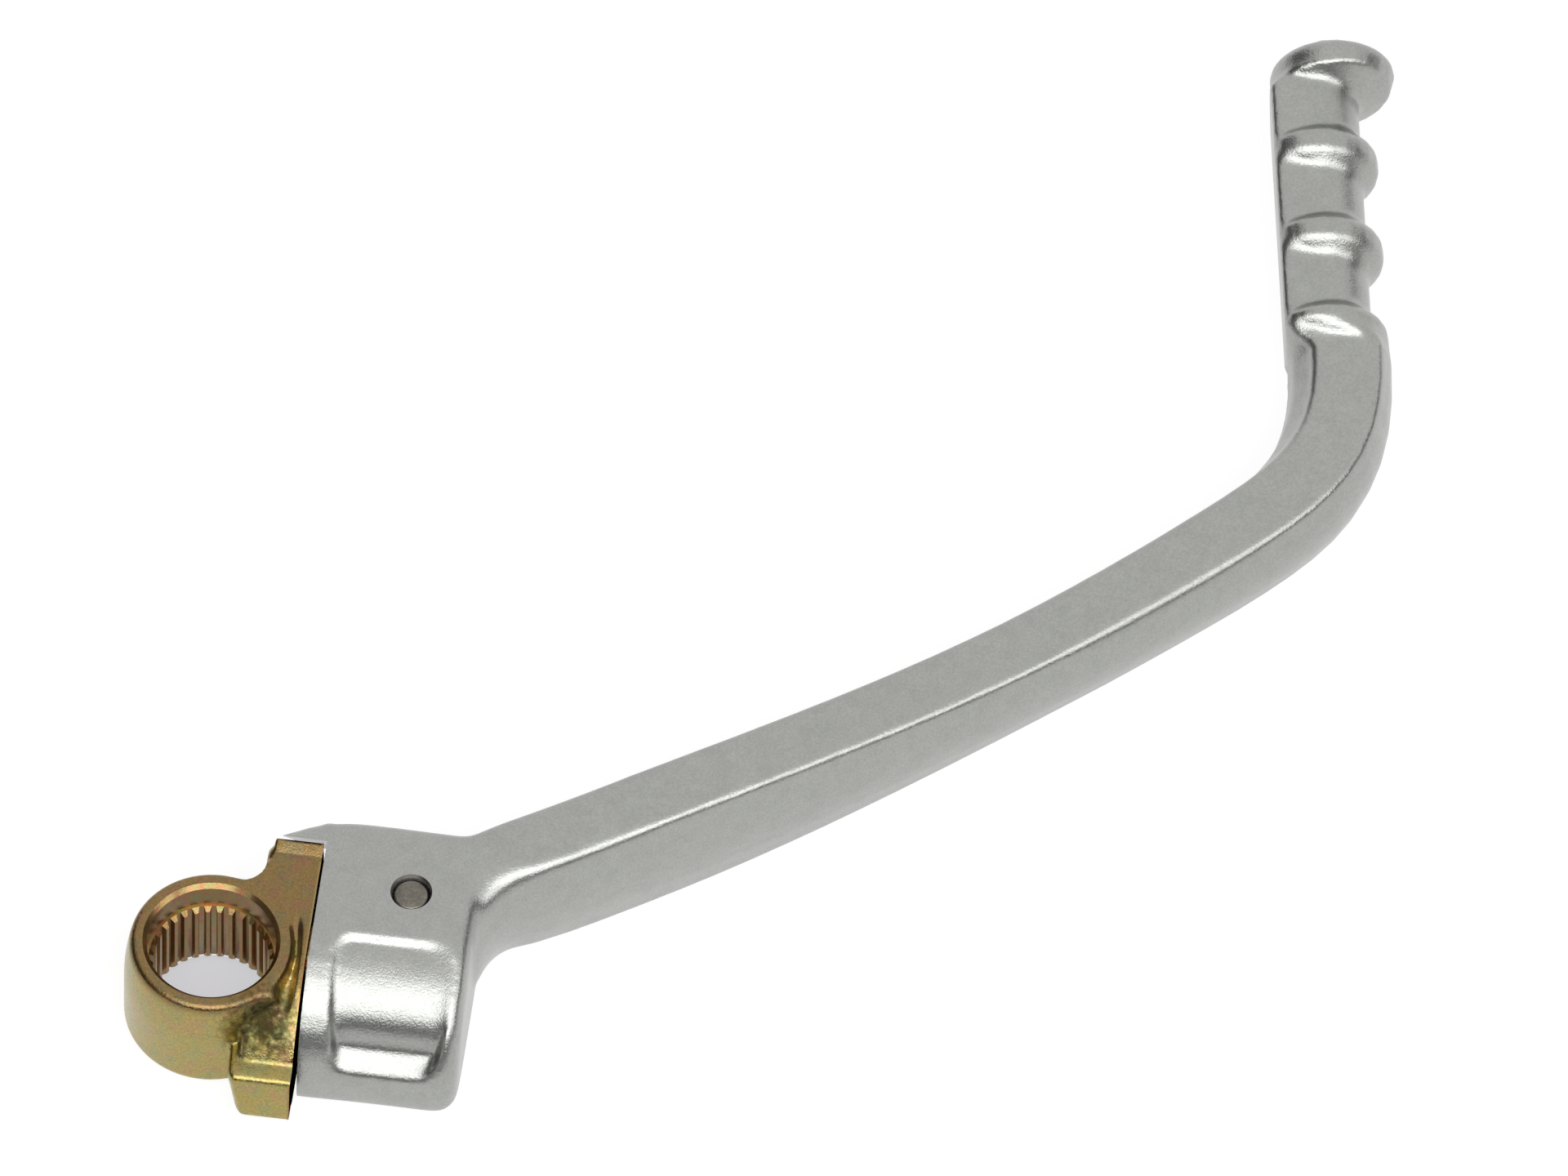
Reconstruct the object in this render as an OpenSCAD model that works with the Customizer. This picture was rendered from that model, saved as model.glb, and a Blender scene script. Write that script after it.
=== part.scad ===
// Folding kick start lever, shown folded: a splined steel knuckle, and an aluminium lever that swings on its stem.
// The origin is on the axis of the splined bore, at the height of the stem's axis. The bore runs along Z, and its
// recessed end, where the shaft's bolt goes, faces +Z. The stem that the lever swings on runs along X.

/* [Hub] */
// Height of the splined hub without its foot
hub_h = 20.6; // [18:0.1:22]
// How far the hub's foot stands out below that
hub_foot = 1; // [0.3:0.1:1.2]
// Outer radius of the hub at mid height and below
hub_r = 15; // [14:0.1:17]
// How much smaller the hub's radius is at its top, from the draft of the forging
hub_draft = 1.1; // [0.5:0.1:1.6]
// Rounding of the forging's outer edges
forged_edge = 1.3; // [0.6:0.1:1.6]
// Height of the small steps down from the hub to the slab, and from the slab to the flange plate
forged_step = 0.15; // [0.15:0.01:0.18]
// Radius of the smooth recess above the splines
recess_r = 11.1; // [11:0.1:11.6]
// Depth of that recess
recess_depth = 5.6; // [3:0.1:8]
// Chamfer round the recess's rim
recess_chamfer = 0.7; // [0.3:0.1:0.8]

/* [Splines] */
// Number of teeth in the bore
teeth = 32; // [24:1:40]
// Radius at the tips of the teeth
spline_tip_r = 10; // [9:0.1:10.2]
// Radius at the roots between the teeth
spline_root_r = 10.8; // [10.5:0.1:10.9]
// Width of a tooth's tip as a share of the pitch
tip_share = 0.32; // [0.25:0.01:0.4]
// Width of the space at its root as a share of the pitch
root_share = 0.36; // [0.25:0.01:0.4]

/* [Slab and flange] */
// Distance from the bore's centre to the back of the flange plate
flange_x = 7; // [6:0.1:8]
// Thickness of the flange plate
flange_w = 9.4; // [8:0.1:12]
// Reach of the flange plate from the stem's axis on its near side
flange_near = 24; // [21:0.1:25]
// Reach of the flange plate's tab from the stem's axis on its far side
tab_reach = 17.6; // [16:0.1:18]
// Width of the raised strip on the tab
strip_w = 2.4; // [1.5:0.1:3]
// Height of the strip's outer edge above the flat top
strip_rise = 0.7; // [0.2:0.1:0.8]
// Distance from the bore's centre to the slab's front wall, at the flange
slab_front = 9.6; // [8:0.1:11]
// How far the slab reaches over the flange plate
slab_overlap = 6; // [4:0.1:7]
// Hollow fillet between the hub and the tab
slab_fillet = 4; // [2:0.1:5]
// Radius of the valley between the slab's end and the flange's rim
valley_r = 1.3; // [0.8:0.1:1.6]

/* [Stop lug] */
// How far the lug stands out from the flange plate
lug_reach = 2.8; // [2:0.1:6]
// How far the lug's front leans back towards its top
lug_lean = 1.2; // [0.5:0.1:2]
// How far the lug's top stands out behind the flange plate
lug_over = 2; // [1:0.1:3]
// Height of the lug's ledge above mid height
lug_top = 0.6; // [0:0.1:2]
// Height of the lug's foot above the hub's lower face
lug_foot = 0.8; // [0.4:0.1:2]
// Slant of the lug's back wall
lug_slant = 1.9; // [0.5:0.1:3]

/* [Stem] */
// Radius of the stem
stem_r = 8; // [7.5:0.1:8.2]
// Sideways offset of the stem's axis from the bore's centre
stem_y = 4.5; // [3:0.1:6]
// Radial clearance between the stem and the lever
stem_fit = 0.05; // [0.02:0.01:0.1]
// Gap between the flange and the lever's barrel
face_gap = 0.6; // [0.4:0.1:1]

/* [Barrel] */
// Length of the barrel along the stem
barrel_len = 27.5; // [26:0.1:32]
// Reach of the barrel's profile from the stem's axis on its near side
barrel_near = 21; // [20.5:0.1:23]
// Reach of the barrel's profile on its far side, where the arm grows out
barrel_far = 23; // [22:0.1:24]
// Half thickness of the barrel's profile
barrel_half_t = 12; // [11.8:0.1:13.5]
// Rounding of the profile's two square corners
barrel_corner = 3; // [2:0.1:4]
// Height of the centres of the profile's two long curves above and below mid height
barrel_slope = 6; // [4:0.1:7]
// Rounding of the barrel's outer end
barrel_end_round = 3.6; // [2:0.1:4]
// Wall left beyond the stem's bore
barrel_end_wall = 3.4; // [2.5:0.1:5]
// Reach of the ear over the flange's tab
ear_len = 9; // [6:0.1:10]
// Distance from the barrel's face at which the ear's curve begins
ear_blend = 7; // [4:0.1:8]
// How far that curve turns inwards at the ear's tip
ear_turn = 8; // [6:0.1:9]
// Radial clearance under the ear
ear_clear = 0.3; // [0.2:0.1:0.5]
// Height above mid height at which the ear begins
ear_low = 4.5; // [4:0.1:6]

/* [Pocket] */
// Rim left between the barrel's face and the pocket
pocket_rim = 4; // [3:0.1:6]
// Rim left between the pocket and the barrel's outer end
pocket_end_rim = 1.7; // [1.4:0.1:4]
// Distance from the stem's axis back to the pocket's far wall, at the barrel's top
pocket_far = 0.9; // [0.5:0.1:3]
// Distance from the stem's axis to the pocket's near lip
pocket_near = 20.5; // [19:0.1:20.6]
// Metal left over the stem, measured upwards
pocket_tube_t = 3; // [2.5:0.1:3.4]
// Metal left beside the stem, measured sideways
pocket_tube_w = 8; // [4:0.1:9]
// Slope of the pocket's ledge, in degrees
ledge_slope = 30; // [20:1:40]
// Slant of the pocket's walls, in degrees
pocket_slant = 10; // [4:1:14]
// Rounding of the pocket's corners beside the knuckle
pocket_corner = 3.5; // [2:0.1:5]
// Rounding of the pocket's corners at the barrel's outer end
pocket_end_corner = 5.5; // [3:0.1:6]

/* [Arm] */
// Run of the arm from the barrel's end to the start of the bend
arm_run = 114.5; // [90:0.1:140]
// Rise of the arm from the stem's axis to the start of the bend
arm_rise = 102.5; // [80:0.1:120]
// Heading of the arm at the barrel, in degrees from the stem
root_heading = 31; // [28:0.5:34]
// Heading of the arm at the start of the bend
bend_heading = 44; // [40:0.5:50]
// Run of the bend
bend_run = 16.7; // [12:0.1:20]
// Rise of the bend
bend_rise = 42.1; // [38:0.1:50]
// Half width of the arm's top face at its ends
arm_top_w = 6.3; // [5.6:0.1:6.8]
// How much narrower the top face is halfway
arm_waist = 0.4; // [0:0.1:1.2]
// How far the side walls lean out towards mid height
arm_lean = 1.4; // [0.8:0.1:2]
// How far the inner wall leans out in the bend
bend_lean = 4; // [2:0.1:4.5]
// Half thickness of the arm at the barrel
arm_half_t = 11.75; // [11:0.05:11.8]
// Half thickness of the arm at the bend
bend_half_t = 8.3; // [7.8:0.1:9]
// Rounding of the arm's long edges
arm_edge = 1.4; // [0.8:0.1:1.8]
// Extra width of the arm's foot, which fills the corner beside the barrel
foot_flare = 6.6; // [4:0.1:8]
// Rounding of the foot's near top edge, where it runs into the barrel
foot_round = 5.5; // [3:0.1:6.5]
// Depth of the shallow dip between the foot and the barrel
foot_dip = 1.3; // [0.5:0.1:2]

/* [Foot peg] */
// Heading of the peg, in degrees from the stem
peg_heading = 100.8; // [95:0.1:108]
// Number of ribs between the shoulder and the end flange
ribs = 2; // [1:1:4]
// Distance between two neighbouring ribs
rib_pitch = 18; // [16:0.1:20]
// Distance from the peg's start to the middle of its shoulder
shoulder_at = 5; // [4:0.1:7]
// Length of a rib's crest
rib_crest = 2.6; // [2:0.1:4]
// Length over which a rib falls to the neck
rib_fall = 4; // [2:0.1:4.5]
// Distance from the peg's axis to its flat back
peg_back = 10.4; // [9:0.1:11.4]
// Distance from the flat back to the middle of the ribs' rounding
rib_centre = 7.1; // [6:0.1:7.6]
// Radius of the ribs
rib_r = 10.8; // [9.5:0.1:11.2]
// Radius of the necks between the ribs
neck_r = 8; // [7:0.1:8.4]
// Radius of the end flange
end_r = 12; // [11:0.1:12]
// Distance from the flat back to the middle of the end flange's rounding
end_centre = 9.8; // [9:0.1:11]
// Thickness of the end flange
end_w = 5.2; // [4:0.1:7]
// Rounding of the end flange's rim
end_round = 2.4; // [1.5:0.1:3]

/* [Retaining pin] */
// Radius of the pin
pin_r = 3; // [2.6:0.1:3.1]
// Clearance of the pin in its hole
pin_fit = 0.02; // [0.01:0.01:0.05]
// Distance from the barrel's face to the pin
pin_x = 15.7; // [15.6:0.1:17]
// Depth by which the pin reaches into the stem
pin_bite = 2; // [1.5:0.1:2.4]
// Depth of the pin's end below the barrel's top
pin_sink = 0.5; // [0.2:0.1:1]
// Radius of the hole's mouth
pin_mouth_r = 3.5; // [3.4:0.1:3.8]
// Clearance between the pin and the groove it runs in
groove_clear = 0.1; // [0.1:0.05:0.2]

/* [Detent and seal] */
// Radius of the detent ball
ball_r = 2; // [1.8:0.1:2.1]
// Distance of the ball from the stem's axis
ball_orbit = 11.2; // [11.1:0.1:11.5]
// Angle of the ball round the stem, from the far side upwards
ball_angle = 50; // [48:1:54]
// Clearance of the ball in its hole
ball_fit = 0.05; // [0.03:0.01:0.1]
// Depth of the two dimples that the ball drops into
dimple_depth = 0.5; // [0.3:0.05:0.6]
// Depth of the ball's hole from the barrel's face
ball_hole = 11; // [9:0.1:11.4]
// Radius of the detent spring's wire
wire_r = 0.25; // [0.2:0.05:0.3]
// Number of turns of the detent spring
spring_turns = 6; // [5:1:8]
// Radius of the sealing ring's section
seal_r = 0.85; // [0.7:0.05:1]
// Distance from the flange to the middle of the sealing ring
seal_x = 3.2; // [2.5:0.1:4]

/* [Hidden] */
$fn = 64;
swing = 90;
hub_top = hub_h / 2;
slab_top = hub_top - forged_step;
flange_top = slab_top - forged_step;
flange_face = flange_x + flange_w;
barrel_x = flange_face + face_gap;
barrel_end = barrel_x + barrel_len;
bore_end = barrel_end - barrel_end_wall;
stem_end = bore_end - 0.6;
pin_at = [barrel_x + pin_x, stem_y + stem_r + pin_r - pin_bite];
pin_low = 1.7 - barrel_half_t + pin_r;
ear_tip = barrel_x - ear_len;
ear_start = barrel_x + ear_blend;
ear_r = norm([tab_reach, hub_top + strip_rise]) + ear_clear;
ball_x = flange_face + ball_fit + ball_r;
hole_end = barrel_x + ball_hole;
spring_r = ball_r - wire_r - 0.25;
root_at = [barrel_end + 5.5, stem_y + barrel_far - 1.8];
bend_at = [barrel_end + arm_run, stem_y + arm_rise];
peg_at = bend_at + [bend_run, bend_rise];
root_pull = 0.33 * norm(bend_at - root_at);
bend_pull = 0.45 * norm(peg_at - bend_at);
foot_len = 14.5;
end_at = shoulder_at + (ribs + 1) * rib_pitch - rib_crest / 2 - 0.5;

function unit(v) = v / norm(v);
function along(a) = [cos(a), sin(a)];
function clamp(t) = min(max(t, 0), 1);
function ease(t) = clamp(t) * clamp(t) * (3 - 2 * clamp(t));
function blend(a, b, t) = a + (b - a) * ease(t);
function arc(c, r, from, to, steps) = [for (k = [0:steps]) c + r * along(from + (to - from) * k / steps)];
function at_x(x, p) = [for (q = p) [x, stem_y + q.x, q.y]];
function at_z(z, p) = [for (q = p) [q.x, q.y, z]];

// A closed outline, moved inwards by d
function inset(p, d) = [
    for (i = [0:len(p) - 1])
        let (
            n = len(p),
            u = unit(p[i] - p[(i + n - 1) % n]),
            v = unit(p[(i + 1) % n] - p[i]),
            m = unit([-u.y - v.y, u.x + v.x])
        )
        p[i] + m * d / (m * [-u.y, u.x])
];

// A solid through a row of rings with the same number of points. Its ends are one face each, or a fan from point h
module skin(rings, h = -1) {
    n = len(rings[0]);
    end = (len(rings) - 1) * n;
    polyhedron(
        points = [for (r = rings) each r],
        faces = [
            for (k = [0:n:end - 1], i = [0:n - 1])
                let (a = k + i, b = k + (i + 1) % n)
                    each [[a, a + n, b + n], [a, b + n, b]],
            if (h < 0) each [[for (i = [0:n - 1]) i], [for (i = [n - 1:-1:0]) end + i]],
            if (h >= 0) for (i = [1:n - 2])
                let (a = (h + i) % n, b = (h + i + 1) % n)
                    each [[h, a, b], [end + h, end + b, end + a]]
        ],
        convexity = 8
    );
}

module stem_cylinder(r, from, to) {
    translate([from, stem_y, 0]) rotate([0, 90, 0]) cylinder(r = r, h = to - from);
}

// Profile across the stem: square far-top and near-bottom corners, joined by two long curves
function boss_profile(near, far, half_t, corner) = concat(
    arc([far - corner, half_t - corner], corner, 0, 90, 4),
    [for (a = [0:9:90]) [-near * sin(a), (half_t + barrel_slope) * cos(a) - barrel_slope]],
    arc([corner - near, corner - half_t], corner, 180, 270, 4),
    [for (a = [0:9:90]) [far * sin(a), barrel_slope - (half_t + barrel_slope) * cos(a)]]
);

// Reach of the barrel's far side, which the ear carries on in one curve
function far_side(x) =
    barrel_far - ear_turn * (1 - sqrt(1 - pow(clamp((ear_start - x) / (ear_start - ear_tip)), 2)));
function barrel_ring(x, d) =
    at_x(x, boss_profile(barrel_near - d, far_side(x) - d, barrel_half_t - d, barrel_corner - d * 0.7));
function flange_ring(x, d) =
    at_x(x, boss_profile(flange_near - d, tab_reach - d, flange_top - d, barrel_corner - 0.5 - d * 0.8));

// Knuckle

function hub_side(z) = hub_r - hub_draft * pow(max(z, 0) / hub_top, 2);

module hub() {
    high = hub_top - forged_edge;
    low = forged_edge - hub_top - hub_foot;
    rotate_extrude()
        polygon(concat(
            [[0, -hub_top - hub_foot]],
            arc([hub_r - forged_edge, low], forged_edge, -90, 0, 4),
            [for (k = [0:4]) let (z = high * k / 5) [hub_side(z), z]],
            arc([hub_side(high) - forged_edge, high], forged_edge, 0, 90, 4),
            [[0, hub_top]]
        ));
}

module slab() {
    far = hub_side(hub_top) - 0.5;
    end = flange_x + slab_overlap;
    front = [[2, 0.2 - far], [end - 0.5, -slab_front], [end, stem_y + 4]];
    outline = concat(
        front,
        [[flange_face - 1.5, stem_y + 6], [flange_face - 1.5, stem_y + tab_reach - 3]],
        [[flange_x + 2, stem_y + tab_reach - 3]],
        arc([flange_x + 0.1 - slab_fillet, far + slab_fillet], slab_fillet, 0, -80, 8),
        [[2, far]]
    );
    difference() {
        translate([0, 0, -slab_top]) linear_extrude(2 * slab_top) polygon(outline);
        for (k = [0, 1], z = [-slab_top, slab_top])
            edge_bevel([front[k].x, front[k].y, z], front[k + 1] - front[k], forged_edge * (1 + 0.3 * k));
    }
}

module edge_bevel(at, way, side) {
    translate(at)
        rotate([0, 0, atan2(way.y, way.x)])
            rotate([45, 0, 0])
                translate([-3, -side / 2, -side / 2])
                    cube([norm(way) + 6, side, side]);
}

module flange() {
    skin([
        for (a = [0:30:90]) flange_ring(flange_x + forged_edge * (1 - cos(a)), forged_edge * (1 - sin(a))),
        flange_ring(flange_face, 0)
    ]);
}

module tab_strip() {
    edge = stem_y + tab_reach;
    translate([flange_x + 1, 0, 0])
        rotate([90, 0, 90])
            linear_extrude(flange_w - 1.2)
                polygon([
                    [edge - strip_w, hub_top - 1],
                    [edge - strip_w, slab_top + 0.05],
                    [edge, hub_top + strip_rise],
                    [edge, hub_top - 4],
                    [edge - 1, hub_top - 4]
                ]);
}

module valley() {
    drop = 11.7;
    translate([flange_x + slab_overlap + valley_r - 0.4, stem_y + 5.2, hub_top + valley_r])
        rotate([90 + drop, 0, 0])
            cylinder(r = valley_r, h = 40);
}

module lug() {
    near = stem_y - flange_near;
    low = -hub_top + lug_foot;
    height = lug_top - low;
    edge = 1;
    function lug_ring(z, d) =
        let (
            up = (z - low) / height,
            back = flange_x - lug_over + lug_slant * (1 - up) + d,
            front = near - lug_reach + lug_lean * up + d
        )
        at_z(z, [
            [back, near + 7],
            [back + 0.3, front + 1.2],
            [back + 1.2, front],
            [flange_face - d, front],
            [flange_face - d, near + 7]
        ]);
    skin([
        for (a = [0:30:90]) lug_ring(low + edge * (1 - cos(a)), edge * (1 - sin(a))),
        for (a = [0:30:90]) lug_ring(lug_top - edge * (1 - sin(a)), edge * (1 - cos(a)))
    ]);
}

module stem() {
    seal_at = flange_face + seal_x;
    seal_half = seal_r + 0.1;
    difference() {
        union() {
            stem_cylinder(stem_r, flange_face - 2, stem_end - 0.8);
            translate([stem_end - 0.8, stem_y, 0])
                rotate([0, 90, 0])
                    cylinder(r1 = stem_r, r2 = stem_r - 0.8, h = 0.8);
        }
        difference() {
            stem_cylinder(stem_r + 1, seal_at - seal_half, seal_at + seal_half);
            stem_cylinder(stem_r - 2 * seal_r - 0.03, seal_at - seal_half - 1, seal_at + seal_half + 1);
        }
        pin_groove();
    }
}

// Part-round groove whose two flats meet the pin at the ends of its swing
module pin_groove() {
    floor_r = stem_r - pin_bite - 2 * groove_clear;
    flat = stem_r - pin_bite - groove_clear;
    out = stem_r + 2;
    half = pin_r + groove_clear;
    translate([pin_at.x - half, stem_y, 0])
        rotate([90, 0, 90])
            linear_extrude(2 * half) {
                difference() {
                    square(out);
                    circle(floor_r);
                }
                translate([flat, -out]) square([out - flat, out + 0.01]);
                translate([-out, flat]) square([out + 0.01, out - flat]);
            }
}

module spline_space() {
    pitch = 360 / teeth;
    tip = pitch * tip_share / 2;
    root = pitch * root_share / 2;
    outline = [
        for (k = [0:teeth - 1])
            let (a = k * pitch)
                each [
                    spline_tip_r * along(a + tip),
                    spline_root_r * along(a + pitch / 2 - root),
                    spline_root_r * along(a + pitch / 2 + root),
                    spline_tip_r * along(a + pitch - tip)
                ]
    ];
    translate([0, 0, -hub_top - hub_foot - 1]) linear_extrude(hub_h) polygon(outline);
}

module bore() {
    seat = hub_top - recess_depth;
    spline_space();
    translate([0, 0, seat]) cylinder(r = recess_r, h = recess_depth + 1);
    translate([0, 0, seat - 0.8]) cylinder(r1 = spline_tip_r - 0.05, r2 = recess_r - 0.05, h = 0.8 + 0.04);
    translate([0, 0, -hub_top - hub_foot - 0.01]) cylinder(r1 = recess_r, r2 = spline_tip_r - 0.05, h = 0.9);
    translate([0, 0, hub_top - recess_chamfer])
        cylinder(r1 = recess_r - 0.02, r2 = recess_r + recess_chamfer + 0.1, h = recess_chamfer + 0.1);
}

module dimples() {
    for (a = [ball_angle, ball_angle + swing])
        translate([flange_face + ball_r - dimple_depth, stem_y + ball_orbit * cos(a), ball_orbit * sin(a)])
            sphere(r = ball_r + 0.02);
}

module knuckle() {
    color("darkgoldenrod")
        difference() {
            union() {
                hub();
                slab();
                difference() {
                    flange();
                    valley();
                }
                tab_strip();
                lug();
                stem();
            }
            bore();
            dimples();
        }
}

// Lever

module barrel() {
    edge = 0.4;
    skin([
        barrel_ring(barrel_x, edge),
        barrel_ring(barrel_x + edge, 0),
        for (k = [1:3]) barrel_ring(barrel_x + ear_blend * k / 3, 0),
        for (a = [0:18:90])
            barrel_ring(barrel_end - barrel_end_round * (1 - sin(a)), barrel_end_round * (1 - cos(a)))
    ]);
}

module ear() {
    steps = 9;
    difference() {
        intersection() {
            skin([for (k = [0:steps]) barrel_ring(ear_tip + 0.4 + (ear_len - 0.1) * k / steps, 0)]);
            translate([ear_tip - 1, stem_y, ear_low]) cube([ear_len + 3, 2 * barrel_far, barrel_half_t]);
        }
        stem_cylinder(ear_r, ear_tip - 2, barrel_x);
    }
}

// Forged straight down: its floor is the tube round the stem and a ledge that slopes out to the near lip
module pocket() {
    from = barrel_x + pocket_rim;
    to = barrel_end - pocket_end_rim;
    lip_z = (barrel_half_t + barrel_slope) * cos(asin(pocket_near / barrel_near)) - barrel_slope;
    spread = (barrel_half_t - lip_z) * tan(pocket_slant);
    near = stem_y - pocket_near - spread;
    far = stem_y - pocket_far;
    outline = concat(
        arc([from + pocket_corner, near + pocket_corner], pocket_corner, 180, 270, 4),
        arc([to - pocket_end_corner, near + pocket_end_corner], pocket_end_corner, 270, 360, 4),
        arc([to - pocket_end_corner, far - pocket_end_corner], pocket_end_corner, 0, 90, 4),
        arc([from + pocket_corner, far - pocket_corner], pocket_corner, 90, 180, 4)
    );
    low = 20;
    high = 3;
    difference() {
        skin([
            at_z(barrel_half_t - low, inset(outline, low * tan(pocket_slant))),
            at_z(barrel_half_t + high, inset(outline, -high * tan(pocket_slant)))
        ]);
        translate([from - 9, stem_y, 0])
            scale([1, (stem_r + pocket_tube_w) / 10, (stem_r + pocket_tube_t) / 10])
                rotate([0, 90, 0])
                    cylinder(r = 10, h = barrel_len + 9);
        translate([from - 9, stem_y - pocket_near, lip_z])
            rotate([ledge_slope, 0, 0])
                translate([0, -30, -40])
                    cube([60, 60, 40]);
    }
}

function bezier(p, t) =
    pow(1 - t, 3) * p[0] + 3 * t * pow(1 - t, 2) * p[1] + 3 * t * t * (1 - t) * p[2] + pow(t, 3) * p[3];
function bezier_heading(p, t) =
    let (d = pow(1 - t, 2) * (p[1] - p[0]) + 2 * t * (1 - t) * (p[2] - p[1]) + t * t * (p[3] - p[2]))
        atan2(d.y, d.x);

// Section of the arm in 28 points, from its inner top edge over the top to the outer side and back. The rounding of
// the outer top edge is given by itself
function arm_section(half_w, half_t, lean_in, lean_out, flare, soft) =
    let (
        x = half_w - arm_edge,
        z = half_t - arm_edge,
        top = concat(
            [for (k = [0:3]) [-x, z] + arm_edge * along(172 - 82 * k / 3)],
            [for (k = [0:5]) [half_w + flare - soft, half_t - soft] + soft * along(90 - 82 * k / 5)],
            [for (s = [0.5, 0.2]) [half_w + flare + lean_out * (1 - s * s), min(z, half_t - 0.7 * soft) * s]]
        ),
        low = [for (k = [len(top) - 1:-1:0]) [top[k].x, -top[k].y]]
    )
    concat(
        top,
        [[half_w + flare + lean_out, 0]],
        low,
        [for (s = [-0.5, 0, 0.5]) [-half_w - lean_in * (1 - s * s), z * s]]
    );

// Section of the peg in 28 points: a rounding of radius r about c, on a flat back
function peg_section(c, r, back_z) =
    let (
        k0 = asin(back_z / r),
        from = -peg_back + c > 0 || r > neck_r + 0.1 ? 180 - k0 : 90,
        top = concat(
            [for (k = [0:3]) [-peg_back, back_z] + [0.9, -0.9] + 0.9 * along(180 - 30 * k)],
            [for (k = [0:7]) [c - peg_back, 0] + r * along((from - 8) * (1 - k / 8))]
        ),
        low = [for (k = [len(top) - 1:-1:0]) [top[k].x, -top[k].y]]
    )
    concat(top, [[c - peg_back + r, 0]], low, [for (s = [-0.5, 0, 0.5]) [-peg_back, back_z * s]]);

function place(at, a, section) = [for (q = section) concat(at + q.x * [sin(a), -cos(a)], [q.y])];

rib_section = peg_section(rib_centre, rib_r, sqrt(pow(rib_r, 2) - pow(rib_centre, 2)));
neck_section = peg_section(rib_centre, neck_r, neck_r);
end_section = peg_section(end_centre, end_r, sqrt(pow(end_r, 2) - pow(end_centre, 2)));

function arm_half_w(t) = arm_top_w - arm_waist * sin(180 * t);
function foot_soft(s) = blend(foot_round, arm_edge, (s + foot_len) / (foot_len + 6));
function bend_section(t) =
    arm_section(arm_top_w, bend_half_t, arm_lean + (bend_lean - arm_lean) * ease(t), arm_lean, 0, arm_edge);

// The foot's top dips towards the barrel. Underneath it rises, more on its far side, as the barrel's profile does
function foot_point(q, back) =
    q.y > 0
        ? [q.x, q.y - foot_dip * ease(back)]
        : [q.x, q.y * (1 - ease(back) * blend(0.6, 0.1, (q.x + arm_top_w) / (2 * arm_top_w)))];

module arm() {
    straight = [root_at, root_at + root_pull * along(root_heading), bend_at - root_pull * along(bend_heading), bend_at];
    bend = [bend_at, bend_at + bend_pull * along(bend_heading), peg_at - bend_pull * along(peg_heading), peg_at];
    foot = [
        for (k = [0:7])
            let (s = foot_len * (k / 8 - 1), flare = foot_flare * pow(clamp((-3 - s) / 11), 2))
                place(
                    root_at + s * along(root_heading), root_heading,
                    [for (q = arm_section(arm_top_w, arm_half_t, arm_lean, arm_lean, flare, foot_soft(s)))
                        foot_point(q, -s / foot_len)]
                )
    ];
    shank = [
        for (k = [0:20])
            let (t = k / 20, half_t = blend(arm_half_t, bend_half_t, (t - 0.18) / 0.6))
                place(
                    bezier(straight, t), bezier_heading(straight, t),
                    arm_section(arm_half_w(t), half_t, arm_lean, arm_lean, 0, foot_soft(t * arm_run))
                )
    ];
    elbow = [
        for (k = [1:10])
            let (t = k / 10)
                place(bezier(bend, t), bezier_heading(bend, t), bend_section(t * 1.4))
    ];
    tip = [
        for (s = peg_stations()) place(peg_at + s * along(peg_heading), peg_heading, peg_ring(s))
    ];
    skin(concat(foot, shank, elbow, tip), h = 12);
}

function peg_stations() = concat(
    [1.5, 3, shoulder_at],
    [
        for (k = [0:ribs])
            let (a = shoulder_at + k * rib_pitch, c = rib_crest / 2)
                each [
                    for (d = [c, c + rib_fall * 0.25, c + rib_fall * 0.5, c + rib_fall * 0.75, c + rib_fall]) a + d,
                    for (d = [rib_fall, rib_fall * 0.75, rib_fall * 0.5, rib_fall * 0.25, if (k < ribs) 0])
                        a + rib_pitch - c - d
                ]
    ],
    [for (a = [0:18:90]) end_at + end_w - end_round * (1 - sin(a))]
);

function end_ring(d) = [for (q = end_section) q - d * unit(q - [end_centre - peg_back, 0])];

function peg_ring(s) =
    let (
        k = floor((s - shoulder_at) / rib_pitch),
        d = s - shoulder_at - k * rib_pitch,
        near = min(d, rib_pitch - d) - rib_crest / 2,
        rise = 1 - ease(near / rib_fall)
    )
    s < shoulder_at ? bend_section(1) + (rib_section - bend_section(1)) * ease(s / shoulder_at)
    : s > end_at ? end_ring(end_round - sqrt(max(pow(end_round, 2) - pow(s - end_at - end_w + end_round, 2), 0)))
    : k >= ribs && d > rib_pitch / 2 ? neck_section + (end_section - neck_section) * rise
    : neck_section + (rib_section - neck_section) * rise;

module pin_hole() {
    r = pin_r + pin_fit;
    translate([pin_at.x, pin_at.y, pin_low - 0.3]) cylinder(r = r, h = 2 * barrel_half_t);
    translate([pin_at.x, pin_at.y, barrel_half_t - 1.2]) cylinder(r1 = r + 0.1, r2 = pin_mouth_r, h = 1.21);
}

module ball_hole() {
    translate([barrel_x - 1, stem_y + ball_orbit * cos(ball_angle), ball_orbit * sin(ball_angle)])
        rotate([0, 90, 0])
            cylinder(r = ball_r + ball_fit, h = ball_hole + 1);
}

module lever() {
    color("silver")
        difference() {
            union() {
                difference() {
                    barrel();
                    pocket();
                }
                ear();
                arm();
            }
            stem_cylinder(stem_r + stem_fit, barrel_x - 1, bore_end);
            pin_hole();
            ball_hole();
        }
}

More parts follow.
